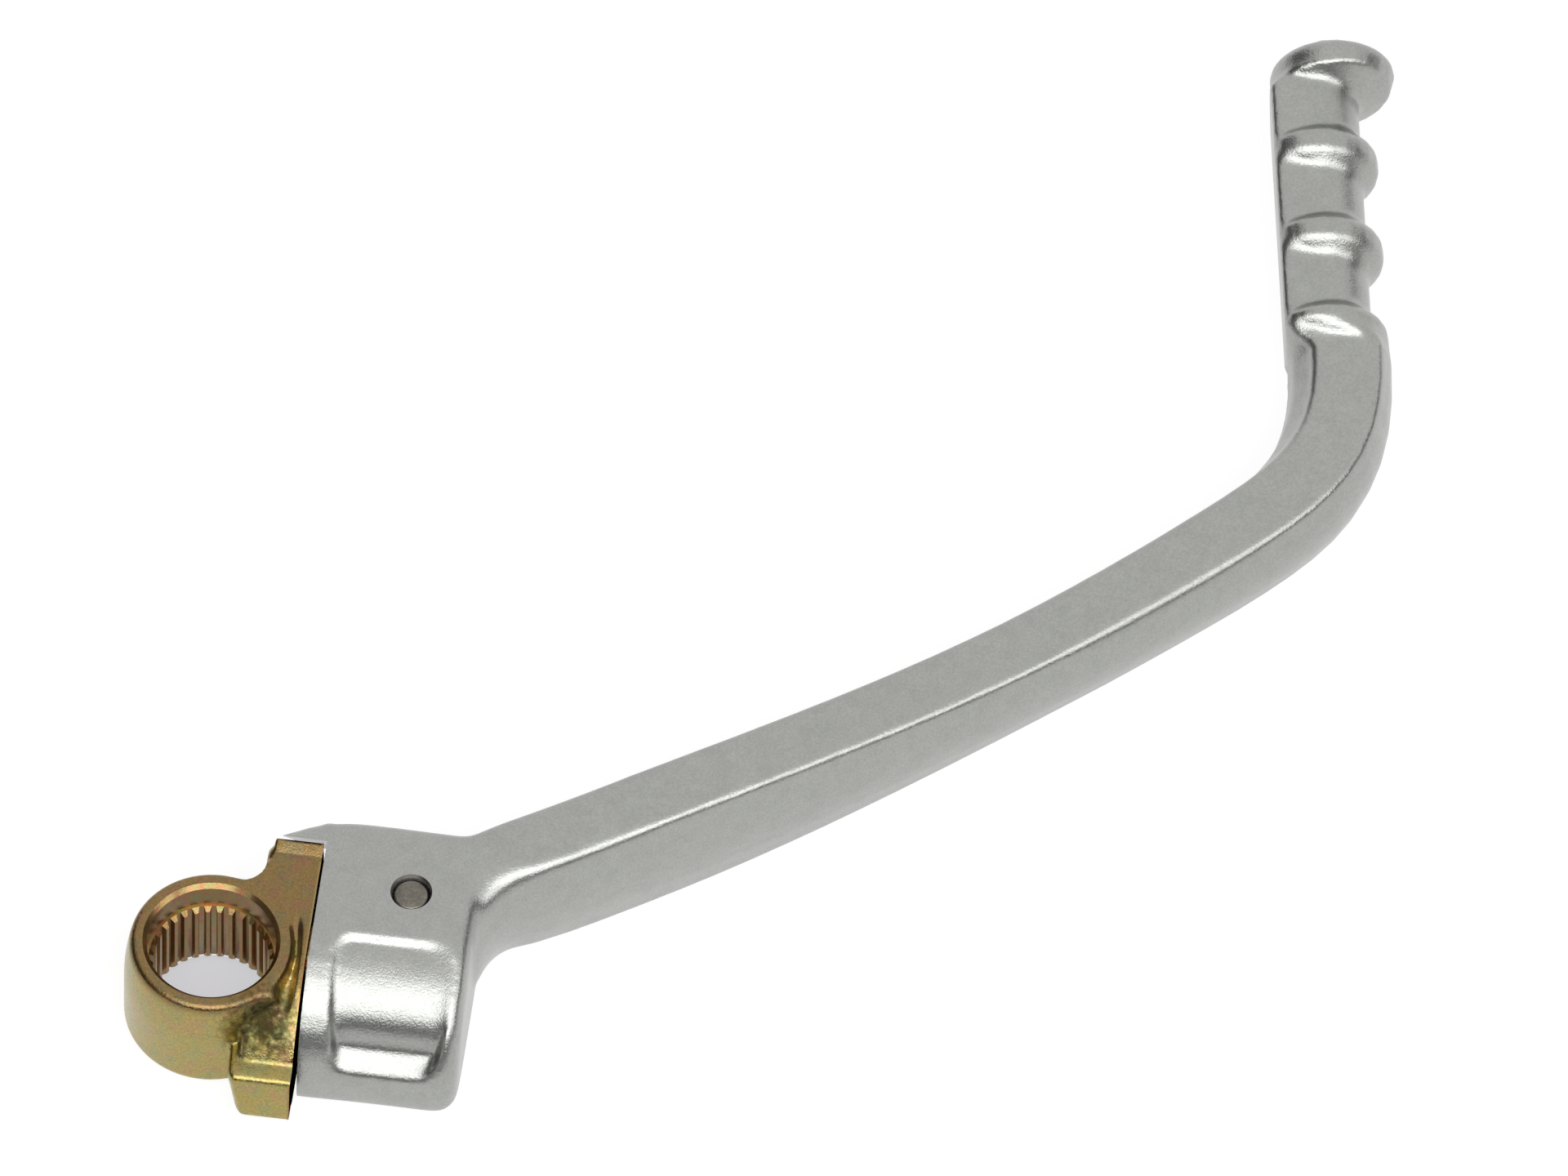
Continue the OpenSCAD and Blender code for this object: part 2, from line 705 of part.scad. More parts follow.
module retaining_pin() {
    chamfer = 0.4;
    top = barrel_half_t - pin_sink;
    color("gainsboro")
        translate([pin_at.x, pin_at.y, pin_low]) {
            cylinder(r = pin_r, h = top - pin_low - chamfer);
            translate([0, 0, top - pin_low - chamfer]) cylinder(r1 = pin_r, r2 = pin_r - chamfer, h = chamfer);
        }
}

module detent_ball() {
    color("lightsteelblue")
        translate([ball_x, stem_y + ball_orbit * cos(ball_angle), ball_orbit * sin(ball_angle)])
            sphere(r = ball_r);
}

module detent_spring() {
    from = ball_x + sqrt(pow(ball_r + wire_r + 0.05, 2) - pow(spring_r, 2));
    to = hole_end - wire_r - 0.03;
    steps = 14;
    n = spring_turns * steps;
    centre = [0, stem_y + ball_orbit * cos(ball_angle), ball_orbit * sin(ball_angle)];
    rings = [
        for (k = [0:n])
            let (
                a = 360 * k / steps,
                x = from + (to - from) * (blend(0, 1, k / n) + k / n) / 2,
                out = [0, cos(a), sin(a)]
            )
            [for (b = [0:60:300]) centre + [x, 0, 0] + (spring_r + wire_r * cos(b)) * out + [wire_r * sin(b), 0, 0]]
    ];
    color("dimgray") skin(rings);
}

module stem_seal() {
    color("black")
        translate([flange_face + seal_x, stem_y, 0])
            rotate([0, 90, 0])
                rotate_extrude()
                    translate([stem_r - seal_r, 0])
                        circle(r = seal_r, $fn = 32);
}

knuckle();
lever();
retaining_pin();
detent_ball();
detent_spring();
stem_seal();
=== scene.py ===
import bmesh
import bpy
import math
from mathutils import Matrix, Vector


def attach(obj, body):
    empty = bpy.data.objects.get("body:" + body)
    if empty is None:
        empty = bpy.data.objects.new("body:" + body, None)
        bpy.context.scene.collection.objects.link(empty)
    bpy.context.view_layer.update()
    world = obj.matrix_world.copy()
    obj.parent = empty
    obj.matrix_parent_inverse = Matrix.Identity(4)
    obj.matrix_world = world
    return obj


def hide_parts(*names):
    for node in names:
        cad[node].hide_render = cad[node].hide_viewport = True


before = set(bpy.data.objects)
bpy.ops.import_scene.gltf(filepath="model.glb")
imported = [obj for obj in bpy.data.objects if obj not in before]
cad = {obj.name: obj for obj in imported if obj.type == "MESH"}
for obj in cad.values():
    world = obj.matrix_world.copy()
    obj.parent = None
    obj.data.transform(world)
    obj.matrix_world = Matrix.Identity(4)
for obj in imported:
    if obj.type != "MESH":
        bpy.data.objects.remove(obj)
scene = bpy.context.scene
mm = 0.001
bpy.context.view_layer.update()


def addObject(name, mesh):
    piece = bpy.data.objects.new(name, mesh)
    scene.collection.objects.link(piece)
    return piece


def meshFrom(name, points, faces):
    mesh = bpy.data.meshes.new(name)
    mesh.from_pydata([tuple(c * mm for c in p) for p in points], [], faces)
    mesh.update()
    return mesh


def discard(piece):
    bpy.data.objects.remove(piece, do_unlink=True)


def settle(piece):
    # The piece's modifiers become its mesh
    graph = bpy.context.evaluated_depsgraph_get()
    mesh = bpy.data.meshes.new_from_object(piece.evaluated_get(graph), depsgraph=graph)
    piece.modifiers.clear()
    piece.data = mesh
    return piece


def smoothShade(piece, angle=None):
    for face in piece.data.polygons:
        face.use_smooth = True
    if angle is not None:
        piece.data.set_sharp_from_angle(angle=math.radians(angle))


def joined(name, pieces):
    # One mesh from several, which may overlap
    mesh = bpy.data.meshes.new(name)
    points = []
    faces = []
    for piece in pieces:
        start = len(points)
        points += [tuple(v.co) for v in piece.data.vertices]
        faces += [tuple(start + i for i in f.vertices) for f in piece.data.polygons]
    mesh.from_pydata(points, [], faces)
    mesh.update()
    for piece in pieces:
        discard(piece)
    return addObject(name, mesh)


def copyOf(node):
    return addObject(node + "Copy", cad[node].data.copy())


def cut(piece, cutter, operation="DIFFERENCE"):
    modifier = piece.modifiers.new("cut", "BOOLEAN")
    modifier.operation = operation
    modifier.object = cutter
    modifier.solver = "EXACT"
    modifier.material_mode = "TRANSFER"
    settle(piece)
    discard(cutter)
    return piece


def boxPiece(low, high):
    x0, y0, z0 = low
    x1, y1, z1 = high
    corners = [(x0, y0), (x1, y0), (x1, y1), (x0, y1)]
    points = [(x, y, z0) for x, y in corners] + [(x, y, z1) for x, y in corners]
    faces = [(3, 2, 1, 0), (4, 5, 6, 7), (0, 1, 5, 4), (1, 2, 6, 5), (2, 3, 7, 6), (3, 0, 4, 7)]
    return addObject("box", meshFrom("box", points, faces))


def lathe(name, profile, origin, axis, steps=96, ring=False):
    # The profile is a row of (distance along the axis, radius), with a disc at each end; a ring's is a closed loop
    across = Vector((0, 0, 1)) if abs(axis[2]) < 0.5 else Vector((1, 0, 0))
    axis = Vector(axis)
    side = axis.cross(across)
    points = []
    for along, radius in profile:
        for k in range(steps):
            turn = 2 * math.pi * k / steps
            spoke = across * math.cos(turn) + side * math.sin(turn)
            points.append(tuple(Vector(origin) + axis * along + spoke * radius))
    faces = []
    count = len(profile)
    for row in range(count if ring else count - 1):
        over = (row + 1) % count * steps
        for k in range(steps):
            turned = (k + 1) % steps
            faces.append((row * steps + k, over + k, over + turned, row * steps + turned))
    if not ring:
        last = (count - 1) * steps
        faces.append(tuple(range(steps)))
        faces.append(tuple(last + k for k in reversed(range(steps))))
    return addObject(name, meshFrom(name, points, faces))


def outward(piece):
    # Every face looks out of the piece
    work = bmesh.new()
    work.from_mesh(piece.data)
    bmesh.ops.recalc_face_normals(work, faces=work.faces)
    work.to_mesh(piece.data)
    work.free()
    return piece


def soften(piece, voxel, rounds):
    # A forged skin: every edge and corner of the piece is rounded alike
    remesh = piece.modifiers.new("skin", "REMESH")
    remesh.mode = "VOXEL"
    remesh.voxel_size = voxel * mm
    smooth = piece.modifiers.new("smooth", "SMOOTH")
    smooth.factor = 0.5
    smooth.iterations = rounds
    return settle(piece)


def ease(piece, spots, rounds):
    # Rounds the skin further near each (centre, reach)
    near = piece.vertex_groups.new(name="near")
    for vertex in piece.data.vertices:
        share = max(1 - (vertex.co / mm - Vector(centre)).length / reach for centre, reach in spots)
        if share > 0:
            near.add([vertex.index], min(share * 2, 1), "REPLACE")
    smooth = piece.modifiers.new("ease", "SMOOTH")
    smooth.vertex_group = "near"
    smooth.factor = 0.5
    smooth.iterations = rounds
    settle(piece)
    piece.vertex_groups.clear()
    return piece


def give(piece, material):
    piece.data.materials.clear()
    piece.data.materials.append(material)


print("shader groups")

# Scales of the finest patterns, per metre, and how far the edge of the dark patch by the lug, painted shade over
# pitted plating, is torn
patterns = {"specks": 2600, "pitsAndShade": 900, "tear": 1.6, "coarseShare": 0.2}


def nodeGroup(name, inputs, outputs):
    group = bpy.data.node_groups.new(name, "ShaderNodeTree")
    for label, kind, value in inputs:
        socket = group.interface.new_socket(label, in_out="INPUT", socket_type=kind)
        socket.default_value = value
    for label, kind in outputs:
        group.interface.new_socket(label, in_out="OUTPUT", socket_type=kind)
    return group, group.nodes.new("NodeGroupInput"), group.nodes.new("NodeGroupOutput")


def makeGrain():
    # Fine pits of a blasted or forged skin, as a normal
    group, source, sink = nodeGroup(
        "grain",
        [
            ("Size", "NodeSocketFloat", 0.5),
            ("Depth", "NodeSocketFloat", 0.1),
            ("Coarse", "NodeSocketFloat", 0.0),
        ],
        [("Normal", "NodeSocketVector")],
    )
    nodes = group.nodes
    links = group.links
    place = nodes.new("ShaderNodeTexCoord")
    rate = nodes.new("ShaderNodeMath")
    rate.operation = "DIVIDE"
    rate.inputs[0].default_value = 1000
    links.new(source.outputs["Size"], rate.inputs[1])
    fine = nodes.new("ShaderNodeTexNoise")
    fine.inputs["Detail"].default_value = 3
    links.new(place.outputs["Object"], fine.inputs["Vector"])
    links.new(rate.outputs[0], fine.inputs["Scale"])
    slow = nodes.new("ShaderNodeMath")
    slow.operation = "MULTIPLY"
    slow.inputs[1].default_value = patterns["coarseShare"]
    links.new(rate.outputs[0], slow.inputs[0])
    coarse = nodes.new("ShaderNodeTexNoise")
    coarse.inputs["Detail"].default_value = 2
    links.new(place.outputs["Object"], coarse.inputs["Vector"])
    links.new(slow.outputs[0], coarse.inputs["Scale"])
    part = nodes.new("ShaderNodeMath")
    part.operation = "MULTIPLY"
    links.new(coarse.outputs["Fac"], part.inputs[0])
    links.new(source.outputs["Coarse"], part.inputs[1])
    total = nodes.new("ShaderNodeMath")
    links.new(fine.outputs["Fac"], total.inputs[0])
    links.new(part.outputs[0], total.inputs[1])
    bump = nodes.new("ShaderNodeBump")
    links.new(source.outputs["Depth"], bump.inputs["Distance"])
    links.new(total.outputs[0], bump.inputs["Height"])
    links.new(bump.outputs["Normal"], sink.inputs["Normal"])
    return group


def makeTint():
    # A colour that drifts between three, in patches, with fine lighter and darker specks
    group, source, sink = nodeGroup(
        "tint",
        [
            ("Base", "NodeSocketColor", (0.5, 0.5, 0.5, 1)),
            ("Second", "NodeSocketColor", (0.5, 0.5, 0.5, 1)),
            ("Third", "NodeSocketColor", (0.5, 0.5, 0.5, 1)),
            ("Size", "NodeSocketFloat", 5.0),
            ("Amount", "NodeSocketFloat", 0.5),
            ("Speck", "NodeSocketFloat", 0.1),
        ],
        [("Color", "NodeSocketColor")],
    )
    nodes = group.nodes
    links = group.links
    place = nodes.new("ShaderNodeTexCoord")
    rate = nodes.new("ShaderNodeMath")
    rate.operation = "DIVIDE"
    rate.inputs[0].default_value = 1000
    links.new(source.outputs["Size"], rate.inputs[1])
    colour = source.outputs["Base"]
    for label, shift, low, high in (("Second", 0.0, 0.45, 0.65), ("Third", 0.37, 0.5, 0.7)):
        moved = nodes.new("ShaderNodeVectorMath")
        moved.operation = "ADD"
        moved.inputs[1].default_value = (shift, shift, -shift)
        links.new(place.outputs["Object"], moved.inputs[0])
        noise = nodes.new("ShaderNodeTexNoise")
        noise.inputs["Detail"].default_value = 2
        links.new(moved.outputs[0], noise.inputs["Vector"])
        links.new(rate.outputs[0], noise.inputs["Scale"])
        span = nodes.new("ShaderNodeMapRange")
        span.inputs["From Min"].default_value = low
        span.inputs["From Max"].default_value = high
        links.new(noise.outputs["Fac"], span.inputs["Value"])
        share = nodes.new("ShaderNodeMath")
        share.operation = "MULTIPLY"
        links.new(span.outputs["Result"], share.inputs[0])
        links.new(source.outputs["Amount"], share.inputs[1])
        mix = nodes.new("ShaderNodeMix")
        mix.data_type = "RGBA"
        links.new(share.outputs[0], mix.inputs["Factor"])
        links.new(colour, mix.inputs["A"])
        links.new(source.outputs[label], mix.inputs["B"])
        colour = mix.outputs["Result"]
    dots = nodes.new("ShaderNodeTexNoise")
    dots.inputs["Scale"].default_value = patterns["specks"]
    dots.inputs["Detail"].default_value = 1
    links.new(place.outputs["Object"], dots.inputs["Vector"])
    spread = nodes.new("ShaderNodeMapRange")
    spread.inputs["From Min"].default_value = 0.3
    spread.inputs["From Max"].default_value = 0.7
    spread.inputs["To Min"].default_value = -1
    spread.inputs["To Max"].default_value = 1
    links.new(dots.outputs["Fac"], spread.inputs["Value"])
    scaled = nodes.new("ShaderNodeMath")
    scaled.operation = "MULTIPLY_ADD"
    scaled.inputs[2].default_value = 1
    links.new(spread.outputs["Result"], scaled.inputs[0])
    links.new(source.outputs["Speck"], scaled.inputs[1])
    dotted = nodes.new("ShaderNodeVectorMath")
    dotted.operation = "SCALE"
    links.new(colour, dotted.inputs[0])
    links.new(scaled.outputs[0], dotted.inputs["Scale"])
    links.new(dotted.outputs[0], sink.inputs["Color"])
    return group


def makeTopBand():
    # Goes from one colour to another with height, for painted shade on the top faces, and darkens a rough patch
    # with painted shade over pitted plating
    group, source, sink = nodeGroup(
        "topBand",
        [
            ("Side", "NodeSocketColor", (0.5, 0.5, 0.5, 1)),
            ("Top", "NodeSocketColor", (0.5, 0.5, 0.5, 1)),
            ("From", "NodeSocketFloat", 0.0),
            ("To", "NodeSocketFloat", 0.01),
            ("Patch", "NodeSocketVector", (0, 0, 0)),
            ("Reach", "NodeSocketFloat", 0.005),
            ("Dark", "NodeSocketFloat", 0.5),
        ],
        [("Color", "NodeSocketColor"), ("Mask", "NodeSocketFloat")],
    )
    nodes = group.nodes
    links = group.links
    place = nodes.new("ShaderNodeTexCoord")
    split = nodes.new("ShaderNodeSeparateXYZ")
    links.new(place.outputs["Object"], split.inputs[0])
    ramp = nodes.new("ShaderNodeMapRange")
    ramp.interpolation_type = "SMOOTHSTEP"
    links.new(split.outputs["Z"], ramp.inputs["Value"])
    links.new(source.outputs["From"], ramp.inputs["From Min"])
    links.new(source.outputs["To"], ramp.inputs["From Max"])
    mix = nodes.new("ShaderNodeMix")
    mix.data_type = "RGBA"
    links.new(ramp.outputs["Result"], mix.inputs["Factor"])
    links.new(source.outputs["Side"], mix.inputs["A"])
    links.new(source.outputs["Top"], mix.inputs["B"])
    away = nodes.new("ShaderNodeVectorMath")
    away.operation = "DISTANCE"
    links.new(place.outputs["Object"], away.inputs[0])
    links.new(source.outputs["Patch"], away.inputs[1])
    share = nodes.new("ShaderNodeMath")
    share.operation = "DIVIDE"
    links.new(away.outputs["Value"], share.inputs[0])
    links.new(source.outputs["Reach"], share.inputs[1])
    noise = nodes.new("ShaderNodeTexNoise")
    noise.inputs["Scale"].default_value = patterns["pitsAndShade"]
    noise.inputs["Detail"].default_value = 4
    links.new(place.outputs["Object"], noise.inputs["Vector"])
    torn = nodes.new("ShaderNodeMath")
    torn.operation = "MULTIPLY_ADD"
    torn.inputs[1].default_value = patterns["tear"]
    links.new(noise.outputs["Fac"], torn.inputs[0])
    links.new(share.outputs[0], torn.inputs[2])
    edge = nodes.new("ShaderNodeMapRange")
    edge.interpolation_type = "SMOOTHSTEP"
    edge.inputs["From Min"].default_value = 0.9
    edge.inputs["From Max"].default_value = 2.0
    edge.inputs["To Min"].default_value = 1
    edge.inputs["To Max"].default_value = 0
    links.new(torn.outputs[0], edge.inputs["Value"])
    # The patch's darkening is painted shade of the concave corner, over rough, pitted plating
    depth = nodes.new("ShaderNodeMath")
    depth.operation = "MULTIPLY"
    links.new(edge.outputs["Result"], depth.inputs[0])
    links.new(source.outputs["Dark"], depth.inputs[1])
    shade = nodes.new("ShaderNodeMath")
    shade.operation = "SUBTRACT"
    shade.inputs[0].default_value = 1
    links.new(depth.outputs[0], shade.inputs[1])
    dark = nodes.new("ShaderNodeVectorMath")
    dark.operation = "SCALE"
    links.new(mix.outputs["Result"], dark.inputs[0])
    links.new(shade.outputs[0], dark.inputs["Scale"])
    links.new(dark.outputs[0], sink.inputs["Color"])
    links.new(edge.outputs["Result"], sink.inputs["Mask"])
    return group


grainGroup = makeGrain()
tintGroup = makeTint()
topBandGroup = makeTopBand()

print("materials")

# Per finish: three colours that drift into one another over patches of some millimetres, the specks' strength,
# roughness, and the grain's size in millimetres and depth in metres. Zinc has a darker copy of its colours above a
# height, which is painted shade on the top faces, and a dark, rough patch in the corner by the lug, which is
# painted shade of the concave corner over rough, pitted plating.
finishes = {
    "aluminium": {
        "colors": ((0.365, 0.37, 0.352), (0.335, 0.34, 0.325), (0.39, 0.395, 0.375)),
        "patch": 3.0, "amount": 0.5, "speck": 0.08, "rough": 0.3, "grain": 0.35, "depth": 0.00006, "coarse": 0.6,
    },
    "machined": {
        "colors": ((0.42, 0.42, 0.44), (0.38, 0.38, 0.41), (0.46, 0.46, 0.48)),
        "patch": 2.0, "amount": 0.4, "speck": 0.03, "rough": 0.26, "grain": 0.2, "depth": 0.00001, "coarse": 0.2,
    },
    "zinc": {
        "colors": ((0.36, 0.29, 0.1), (0.27, 0.29, 0.13), (0.41, 0.24, 0.13)),
        "patch": 3.0, "amount": 0.6, "speck": 0.14, "rough": 0.24, "grain": 0.3, "depth": 0.00006, "coarse": 0.8,
        # top is a dimmed copy of the zinc colours above the height from..to: painted shade on the top faces
        "top": (0.235, 0.155, 0.062), "from": 7.6, "to": 10.0,
        # The patch by the lug is painted shade of the concave corner over rough, pitted plating; dull raises its
        # roughness
        "pitsAndShade": (10.5, -12.0, 5.0), "reach": 7.5, "dark": 0.85, "dull": 0.35,
    },
    "zincMachined": {
        "colors": ((0.34, 0.21, 0.085), (0.26, 0.25, 0.1), (0.38, 0.15, 0.09)),
        "patch": 1.6, "amount": 0.9, "speck": 0.08, "rough": 0.22, "grain": 0.3, "depth": 0.00002, "coarse": 0.4,
    },
    "pinSteel": {
        "colors": ((0.17, 0.157, 0.13), (0.13, 0.12, 0.1), (0.24, 0.225, 0.19)),
        "patch": 1.2, "amount": 0.5, "speck": 0.12, "rough": 0.28, "grain": 0.25, "depth": 0.00003, "coarse": 0.5,
    },
    "ballSteel": {
        "colors": ((0.52, 0.52, 0.52), (0.5, 0.5, 0.5), (0.54, 0.54, 0.54)),
        "patch": 2.0, "amount": 0.1, "speck": 0.0, "rough": 0.12, "grain": 0.3, "depth": 0.0, "coarse": 0.0,
    },
    "springSteel": {
        "colors": ((0.22, 0.22, 0.22), (0.19, 0.19, 0.19), (0.25, 0.25, 0.25)),
        "patch": 2.0, "amount": 0.3, "speck": 0.0, "rough": 0.3, "grain": 0.3, "depth": 0.0, "coarse": 0.0,
    },
}


def plainPaint(name, shade, rough):
    material = bpy.data.materials.new(name)
    material.use_nodes = True
    shader = material.node_tree.nodes["Principled BSDF"]
    shader.inputs["Base Color"].default_value = (shade, shade, shade, 1)
    shader.inputs["Roughness"].default_value = rough
    return material


def metal(name):
    finish = finishes[name]
    material = bpy.data.materials.new(name)
    material.use_nodes = True
    nodes = material.node_tree.nodes
    links = material.node_tree.links
    shader = nodes["Principled BSDF"]
    shader.inputs["Metallic"].default_value = 1
    shader.inputs["Roughness"].default_value = finish["rough"]
    tint = nodes.new("ShaderNodeGroup")
    tint.node_tree = tintGroup
    for label, value in zip(("Base", "Second", "Third"), finish["colors"]):
        tint.inputs[label].default_value = (*value, 1)
    tint.inputs["Size"].default_value = finish["patch"]
    tint.inputs["Amount"].default_value = finish["amount"]
    tint.inputs["Speck"].default_value = finish["speck"]
    # The top faces get a dimmed copy of the zinc colours: painted shade
    if "top" in finish:
        band = nodes.new("ShaderNodeGroup")
        band.node_tree = topBandGroup
        links.new(tint.outputs["Color"], band.inputs["Side"])
        shadedTopTint = nodes.new("ShaderNodeGroup")
        shadedTopTint.node_tree = tintGroup
        dim = [c / b for c, b in zip(finish["top"], finish["colors"][0])]
        for label, value in zip(("Base", "Second", "Third"), finish["colors"]):
            shadedTopTint.inputs[label].default_value = (*(v * d for v, d in zip(value, dim)), 1)
        shadedTopTint.inputs["Size"].default_value = finish["patch"]
        shadedTopTint.inputs["Amount"].default_value = finish["amount"]
        shadedTopTint.inputs["Speck"].default_value = finish["speck"]
        links.new(shadedTopTint.outputs["Color"], band.inputs["Top"])
        band.inputs["From"].default_value = finish["from"] * mm
        band.inputs["To"].default_value = finish["to"] * mm
        band.inputs["Patch"].default_value = [c * mm for c in finish["pitsAndShade"]]
        band.inputs["Reach"].default_value = finish["reach"] * mm
        band.inputs["Dark"].default_value = finish["dark"]
        links.new(band.outputs["Color"], shader.inputs["Base Color"])
        dull = nodes.new("ShaderNodeMapRange")
        dull.inputs["To Min"].default_value = finish["rough"]
        dull.inputs["To Max"].default_value = finish["rough"] + finish["dull"]
        links.new(band.outputs["Mask"], dull.inputs["Value"])
        links.new(dull.outputs["Result"], shader.inputs["Roughness"])
    else:
        links.new(tint.outputs["Color"], shader.inputs["Base Color"])
    if finish["depth"] > 0:
        grain = nodes.new("ShaderNodeGroup")
        grain.node_tree = grainGroup
        grain.inputs["Size"].default_value = finish["grain"]
        grain.inputs["Depth"].default_value = finish["depth"]
        grain.inputs["Coarse"].default_value = finish["coarse"]
        links.new(grain.outputs["Normal"], shader.inputs["Normal"])
    return material


metals = {name: metal(name) for name in finishes}
rubber = plainPaint("rubber", 0.02, 0.6)

print("knuckle")

# Millimetres and degrees. The forging's skin is a voxel remesh, smoothed for some rounds.
knuckleSizes = {
    "top": 10.3, "bottom": -11.3, "face": 16.4, "voxel": 0.36, "rounds": 6,
    "plugRadius": 11.95, "boreRadius": 10.8, "recessRadius": 11.1, "recessDepth": 5.6, "rim": 0.75,
    "footFlare": 1.3, "footDepth": 0.9,
    "stemY": 4.5, "stemStart": 0.3, "reachDepth": 1.2, "reachShift": 1.1,
    "dimpleOrbit": 11.2, "dimpleTurns": (50, 140), "dimpleRadius": 2.06, "dimpleDepth": 0.56,
}


def dimpleTool(turn):
    # A ball that sinks a seat for the detent ball into the flange's face
    size = knuckleSizes
    angle = math.radians(turn)
    spot = (
        size["face"] + size["dimpleRadius"] - size["dimpleDepth"],
        size["stemY"] + size["dimpleOrbit"] * math.cos(angle),
        size["dimpleOrbit"] * math.sin(angle),
    )
    profile = []
    for k in range(13):
        bend = math.pi * k / 12
        radius = max(size["dimpleRadius"] * math.sin(bend), 0.01)
        profile.append((-size["dimpleRadius"] * math.cos(bend), radius))
    return outward(lathe("dimple", profile, spot, (1, 0, 0), 48))


def makeKnuckle():
    # The forged body is rounded first, and then the face, the bore and the dimples are cut sharp
    size = knuckleSizes
    face = size["face"]
    stem = cut(copyOf("knuckle"), boxPiece((face - size["stemStart"], -30, -30), (60, 40, 30)), "INTERSECT")
    reach = cut(
        copyOf("knuckle"), boxPiece((face - size["reachDepth"], -30, -30), (face - 0.02, 40, 30)), "INTERSECT"
    )
    for vertex in reach.data.vertices:
        vertex.co.x += size["reachShift"] * mm
    plug = lathe(
        "plug", [(size["bottom"], size["plugRadius"]), (size["top"], size["plugRadius"])], (0, 0, 0), (0, 0, 1)
    )
    body = joined("knuckleForging", [copyOf("knuckle"), reach, plug])
    soften(body, size["voxel"], size["rounds"])
    give(body, metals["zinc"])
    seat = size["top"] - size["recessDepth"]
    bore = lathe(
        "bore",
        [
            (size["bottom"] - 1, size["boreRadius"] + size["footFlare"]),
            (size["bottom"] + size["footDepth"], size["boreRadius"]),
            (seat - 0.02, size["boreRadius"]),
            (seat, size["recessRadius"]),
            (size["top"] - size["rim"], size["recessRadius"]),
            (size["top"] + 1, size["recessRadius"] + size["rim"] + 1),
        ],
        (0, 0, 0), (0, 0, 1), 160,
    )
    tools = [boxPiece((face, -40, -40), (90, 60, 40)), outward(bore)]
    tools += [dimpleTool(turn) for turn in size["dimpleTurns"]]
    for tool in tools:
        give(tool, metals["zincMachined"])
        cut(body, tool)
    addStem(body, stem)
    smoothShade(body, 38)
    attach(body, "knuckle")
    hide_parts("knuckle")
    return body


def addStem(body, stem):
    # The stem joins the body's mesh with the machined finish, and the body's faces keep theirs
    first = len(body.data.vertices)
    mesh = bpy.data.meshes.new("knuckleForging")
    points = [tuple(v.co) for v in body.data.vertices] + [tuple(v.co) for v in stem.data.vertices]
    faces = [tuple(f.vertices) for f in body.data.polygons]
    marks = [min(f.material_index, 1) for f in body.data.polygons]
    faces += [tuple(first + i for i in f.vertices) for f in stem.data.polygons]
    marks += [1] * len(stem.data.polygons)
    mesh.from_pydata(points, [], faces)
    mesh.materials.append(metals["zinc"])
    mesh.materials.append(metals["zincMachined"])
    for face, mark in zip(mesh.polygons, marks):
        face.material_index = mark
    mesh.update()
    body.data = mesh
    discard(stem)


knuckle = makeKnuckle()
print("knuckle faces", len(knuckle.data.polygons))

print("spline teeth")

# Millimetres. The tip and root shares are parts of one tooth's pitch.
splineSizes = {
    "teeth": 32, "tip": 10.0, "root": 10.85, "tipShare": 0.32, "rootShare": 0.36,
    "low": -10.6, "high": 4.7, "lead": 0.8, "chamfer": 0.8, "leadDrop": 0.75, "chamferDrop": 0.8, "sunk": 0.1,
}


def makeTooth():
    size = splineSizes
    pitch = 2 * math.pi / size["teeth"]
    tip = pitch * size["tipShare"] / 2
    base = pitch * (1 - size["rootShare"]) / 2
    levels = (
        (size["low"], size["leadDrop"]),
        (size["low"] + size["lead"], 0),
        (size["high"] - size["chamfer"], 0),
        (size["high"], size["chamferDrop"]),
    )
    outer = size["root"] + size["sunk"]
    rings = []
    for z, drop in levels:
        inner = size["tip"] + drop
        width = tip + (base - tip) * (inner - size["tip"]) / (size["root"] - size["tip"])
        corners = ((inner, -width), (inner, width), (outer, base), (outer, -base))
        rings.append([(radius * math.cos(turn), radius * math.sin(turn), z) for radius, turn in corners])
    points = [p for ring in rings for p in ring]
    faces = [(0, 1, 2, 3), (12, 15, 14, 13)]
    for row in range(3):
        for k in range(4):
            a = row * 4 + k
            b = row * 4 + (k + 1) % 4
            faces.append((a, a + 4, b + 4, b))
    tooth = outward(addObject("tooth", meshFrom("tooth", points, faces)))
    give(tooth, metals["zincMachined"])
    return tooth


